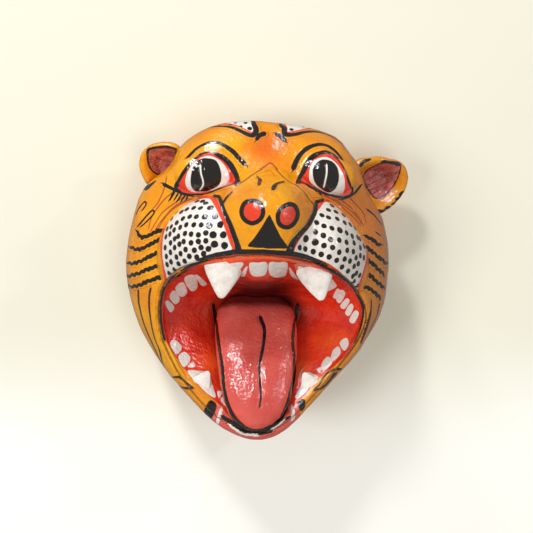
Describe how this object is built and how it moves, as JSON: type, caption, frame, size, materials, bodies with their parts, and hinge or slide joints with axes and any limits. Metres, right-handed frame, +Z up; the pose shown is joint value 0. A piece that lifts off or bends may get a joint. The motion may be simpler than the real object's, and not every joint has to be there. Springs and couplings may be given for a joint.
{
  "type": "folk art tiger mask",
  "caption": "Roaring tiger mask of painted paper pulp, open at the back, with a deep mouth, hanging fangs, a long tongue, cupped ears and a wire across the back to hang it by.",
  "frame": {"origin": "the underside of the hanging wire at its middle, where the nail bears", "axes": "+Z up as the mask hangs, the face looks towards -Y, the wall is at +Y, +X is to the right as one faces the mask"},
  "size_m": [0.2196, 0.15, 0.2351],
  "materials": {
    "orange_lacquer": "hand-painted gloss lacquer over moulded paper pulp",
    "red_lacquer": "hand-painted gloss lacquer over moulded paper pulp",
    "tongue_lacquer": "hand-painted gloss lacquer over moulded paper pulp",
    "tooth_white": "satin paint over rough paper pulp",
    "eye_lacquer": "high gloss lacquer over paper pulp",
    "bare_paper": "unpainted brown paper, matt",
    "wire": "drawn steel wire"
  },
  "bodies": {
    "root": {"head_shell": "orange_lacquer", "snout": "orange_lacquer", "ear_left": "orange_lacquer", "ear_right": "orange_lacquer", "mouth_bowl": "red_lacquer", "tongue": "tongue_lacquer", "upper_fang_left": "tooth_white", "upper_fang_right": "tooth_white", "lower_fang_left": "tooth_white", "lower_fang_right": "tooth_white", "eye_left": "eye_lacquer", "eye_right": "eye_lacquer", "back_band": "bare_paper", "wire_patch_left": "bare_paper", "wire_patch_right": "bare_paper", "hanging_wire": "wire"}
  },
  "joints": []
}
